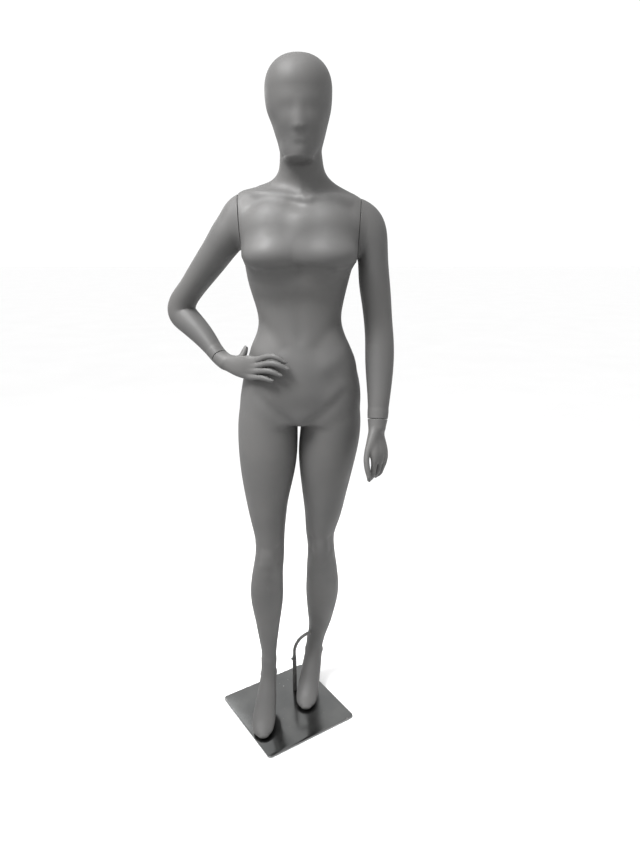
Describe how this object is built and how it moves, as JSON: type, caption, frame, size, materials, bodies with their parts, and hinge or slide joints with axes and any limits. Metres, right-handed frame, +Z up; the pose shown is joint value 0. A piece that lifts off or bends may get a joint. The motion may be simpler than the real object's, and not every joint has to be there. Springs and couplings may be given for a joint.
{
  "type": "full body mannequin",
  "caption": "Standing female display mannequin with an egg-shaped head, one hand on the hip and one arm hanging, held by a bent calf rod on a square polished steel base.",
  "frame": {"origin": "on the floor under the centre of the square base plate, on the underside of its foam sheet", "axes": "+Z up, the figure faces -Y, and its right arm (hand on hip) is towards -X"},
  "size_m": [0.6014, 0.3916, 1.78],
  "materials": {
    "grey_fibreglass": "matte sprayed grey paint over fibreglass",
    "grey_resin": "matte sprayed grey paint over cast resin",
    "polished_steel": "mirror-polished stainless steel",
    "dark_steel": "dark bright-drawn steel",
    "zinc_steel": "zinc-plated steel",
    "timber": "raw plywood and beech",
    "foam_pad": "black foam rubber sheet"
  },
  "bodies": {
    "base": {"base_pad": "foam_pad", "base_plate": "polished_steel"},
    "support": {"support_tube": "dark_steel", "tube_plug": "zinc_steel", "plate_bolt": "dark_steel"},
    "lock_screw": {"lock_screw": "dark_steel"},
    "rod": {"calf_rod": "dark_steel"},
    "figure": {"head_shell": "grey_fibreglass", "torso_shell": "grey_fibreglass", "right_leg_shell": "grey_fibreglass", "left_leg_shell": "grey_fibreglass", "calf_sleeve": "zinc_steel", "calf_block": "timber", "right_socket_block": "timber", "right_socket_plate": "zinc_steel", "right_socket_screws": "zinc_steel", "left_socket_block": "timber", "left_socket_plate": "zinc_steel", "left_socket_screws": "zinc_steel"},
    "right_spindle": {"right_spindle": "zinc_steel", "right_spindle_clip": "zinc_steel"},
    "right_arm": {"right_arm_plate": "zinc_steel", "right_arm_block": "timber", "right_arm_screws": "zinc_steel", "right_arm_shell": "grey_fibreglass", "right_wrist_plug": "timber", "right_wrist_bush": "zinc_steel"},
    "right_wrist_pin": {"right_wrist_pin": "zinc_steel", "right_wrist_clip": "zinc_steel"},
    "right_hand": {"right_hand_socket": "zinc_steel", "right_hand": "grey_resin"},
    "left_spindle": {"left_spindle": "zinc_steel", "left_spindle_clip": "zinc_steel"},
    "left_arm": {"left_arm_plate": "zinc_steel", "left_arm_block": "timber", "left_arm_screws": "zinc_steel", "left_arm_shell": "grey_fibreglass", "left_wrist_plug": "timber", "left_wrist_bush": "zinc_steel"},
    "left_wrist_pin": {"left_wrist_pin": "zinc_steel", "left_wrist_clip": "zinc_steel"},
    "left_hand": {"left_hand_socket": "zinc_steel", "left_hand": "grey_resin"}
  },
  "joints": [
    {"name": "base_swivel", "type": "hinge", "parent": "base", "child": "support", "pos_m": [0.021, 0.074, 0.0065], "axis": [0, 0, 1], "range_deg": [-30, 30]},
    {"name": "lock_screw_turn", "type": "hinge", "parent": "support", "child": "lock_screw", "pos_m": [0.021, 0.074, 0.122], "axis": [-0.891, -0.454, 0], "range_deg": [0, 720]},
    {"name": "rod_height", "type": "slide", "parent": "support", "child": "rod", "axis": [0, 0, 1], "range_m": [0, 0.02]},
    {"name": "figure_lift_off", "type": "slide", "parent": "rod", "child": "figure", "axis": [0.8606, 0.4385, 0.2588], "range_m": [0, 0.045]},
    {"name": "right_arm_turn", "type": "hinge", "parent": "figure", "child": "right_spindle", "pos_m": [-0.098, 0.05, 1.413], "axis": [-0.9979, 0, -0.064], "range_deg": [0, 150]},
    {"name": "right_arm_pull", "type": "slide", "parent": "right_spindle", "child": "right_arm", "axis": [-0.9979, 0, -0.064], "range_m": [0, 0.025]},
    {"name": "right_hand_turn", "type": "hinge", "parent": "right_arm", "child": "right_wrist_pin", "pos_m": [-0.163, 0.048, 1.071], "axis": [0.6003, -0.5803, -0.5503], "range_deg": [0, 40]},
    {"name": "right_hand_pull", "type": "slide", "parent": "right_wrist_pin", "child": "right_hand", "axis": [0.6003, -0.5803, -0.5503], "range_m": [0, 0.0113]},
    {"name": "left_arm_turn", "type": "hinge", "parent": "figure", "child": "left_spindle", "pos_m": [0.195, 0.05, 1.397], "axis": [-0.9964, 0, 0.085], "range_deg": [-30, 150]},
    {"name": "left_arm_pull", "type": "slide", "parent": "left_spindle", "child": "left_arm", "axis": [0.9964, 0, -0.085], "range_m": [0, 0.025]},
    {"name": "left_hand_turn", "type": "hinge", "parent": "left_arm", "child": "left_wrist_pin", "pos_m": [0.25, -0.012, 0.917], "axis": [-0.0401, -0.3009, -0.9528], "range_deg": [-60, 60]},
    {"name": "left_hand_pull", "type": "slide", "parent": "left_wrist_pin", "child": "left_hand", "axis": [-0.0401, -0.3009, -0.9528], "range_m": [0, 0.02]}
  ]
}
